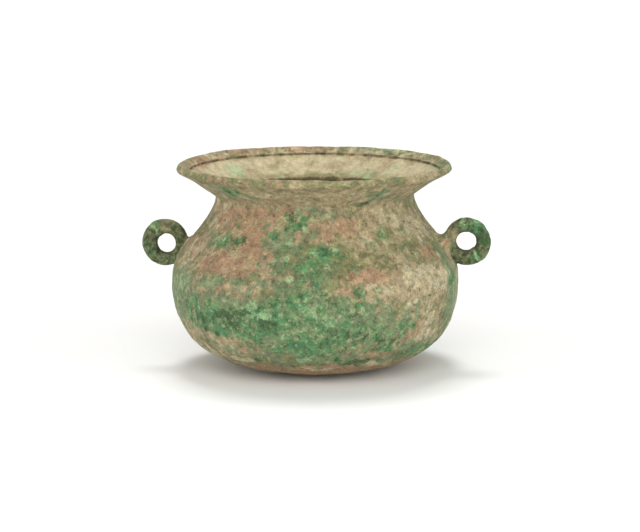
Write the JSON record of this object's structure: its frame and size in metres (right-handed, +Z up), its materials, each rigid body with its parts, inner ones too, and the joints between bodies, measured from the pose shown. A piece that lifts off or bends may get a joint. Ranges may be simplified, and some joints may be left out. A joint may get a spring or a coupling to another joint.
{
  "type": "mou cooking vessel",
  "caption": "Round-bottomed cast bronze cooking pot with a bulging belly, narrow neck, wide flared mouth and upright ring ears on its shoulder, under a green and tan patina.",
  "frame": {"origin": "centre of the small flat that the pot rests on", "axes": "+Z up along the pot's axis; X runs through both ring ears; the side seen in the picture faces -Y"},
  "size_m": [0.27, 0.22, 0.1586],
  "materials": {
    "patinated_bronze": "matte, mottled corrosion: tan and pinkish brown with green crusts"
  },
  "bodies": {
    "root": {"vessel": "patinated_bronze"}
  },
  "joints": []
}
